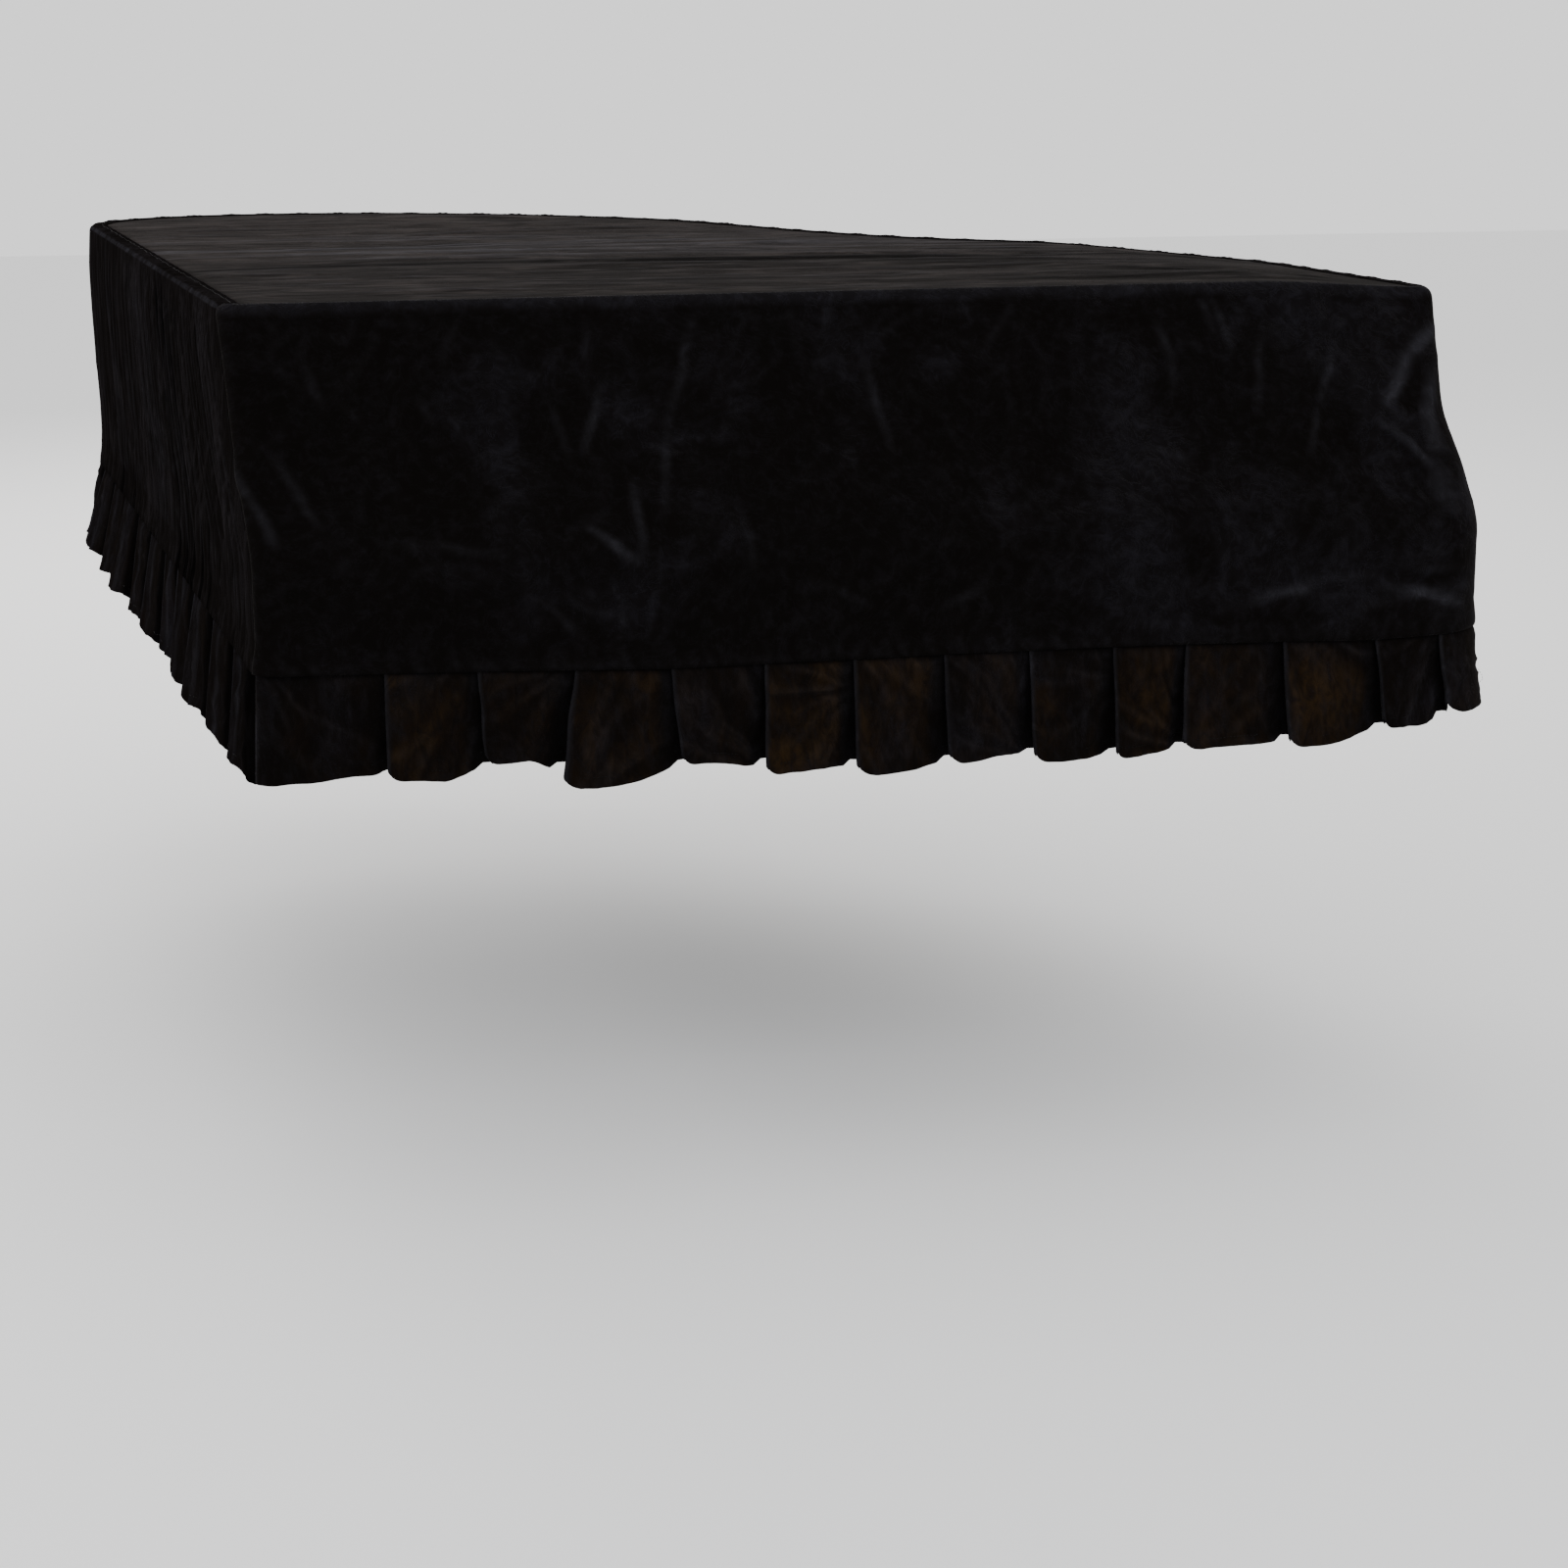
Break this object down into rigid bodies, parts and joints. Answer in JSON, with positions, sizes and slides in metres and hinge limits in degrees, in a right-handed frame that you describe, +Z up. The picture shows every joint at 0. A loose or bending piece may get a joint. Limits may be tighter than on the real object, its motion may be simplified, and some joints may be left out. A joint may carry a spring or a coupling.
{
  "type": "grand piano cover",
  "caption": "Fitted velvet cover for a closed grand piano, gathered down the curved sides and finished with a pleated flounce.",
  "frame": {"origin": "on the face of the closed lid, under the top panel, on the middle line of the keyboard and 0.6 m behind the lid's front edge", "axes": "-Y towards the player, +Y towards the tail, -X towards the straight side, +Z up; the cloth hangs below Z = 0"},
  "size_m": [1.5885, 1.8922, 0.5359],
  "materials": {
    "velvet": "black velvet with a crushed, softly shining pile"
  },
  "bodies": {
    "root": {"top_panel": "velvet", "front_panel": "velvet", "side_panel": "velvet", "front_flounce": "velvet", "side_flounce": "velvet"}
  },
  "joints": []
}
